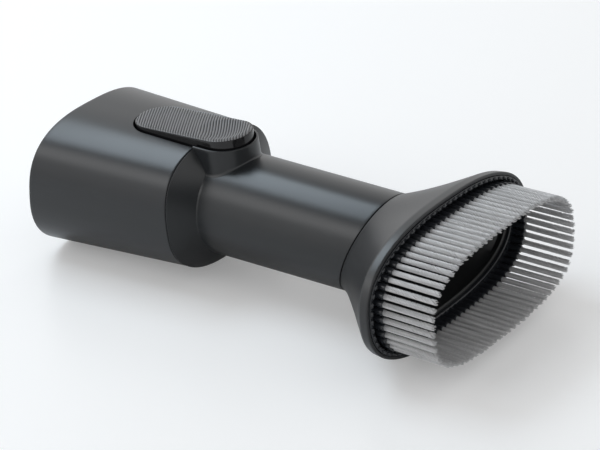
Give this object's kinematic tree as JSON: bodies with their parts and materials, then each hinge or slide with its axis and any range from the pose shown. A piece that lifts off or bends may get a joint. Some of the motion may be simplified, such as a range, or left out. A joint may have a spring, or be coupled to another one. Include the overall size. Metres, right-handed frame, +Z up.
{
  "type": "vacuum furniture brush",
  "caption": "Furniture brush for a stick vacuum: latching collar, round neck and a wide oval brush head that turns on a leaning seam.",
  "frame": {"origin": "centre of the mouth of the socket that takes the machine's pipe", "axes": "+X along the duct towards the bristle tips, +Y across the brush, +Z up through the button"},
  "size_m": [0.2084, 0.0994, 0.0619],
  "materials": {
    "shell": "satin moulded",
    "neck": "satin moulded",
    "inner": "moulded",
    "lever": "polished",
    "pad": "ribbed",
    "seal": "matt",
    "steel": "plated",
    "bearing": "smooth",
    "carrier": "moulded",
    "tufts": "fine filaments"
  },
  "bodies": {
    "body": {"collar_shell": "shell", "socket_liner": "inner", "liner_screws": "steel", "socket_seal": "seal", "duct_gasket": "seal", "neck_tube": "neck", "bearing_ring": "bearing", "lever_pin": "steel", "button_spring": "steel"},
    "button": {"button_lever": "lever", "button_pad": "pad"},
    "head": {"swivel_spigot": "inner", "clip_ring": "steel", "swivel_seal": "seal", "head_shell": "shell", "suction_funnel": "inner", "brush_carrier": "carrier", "bristle_tufts": "tufts"}
  },
  "joints": [
    {"name": "button_press", "type": "hinge", "parent": "body", "child": "button", "pos_m": [0.044, 0, 0.0228], "axis": [0, 1, 0], "range_deg": [0, 5], "stiffness_Nm_per_rad": 0.6, "springref_deg": -5.73, "deforming": ["button_spring"]},
    {"name": "head_swivel", "type": "hinge", "parent": "body", "child": "head", "pos_m": [0.1382, 0, 0], "axis": [0.9205, 0, -0.3907], "continuous": true}
  ]
}
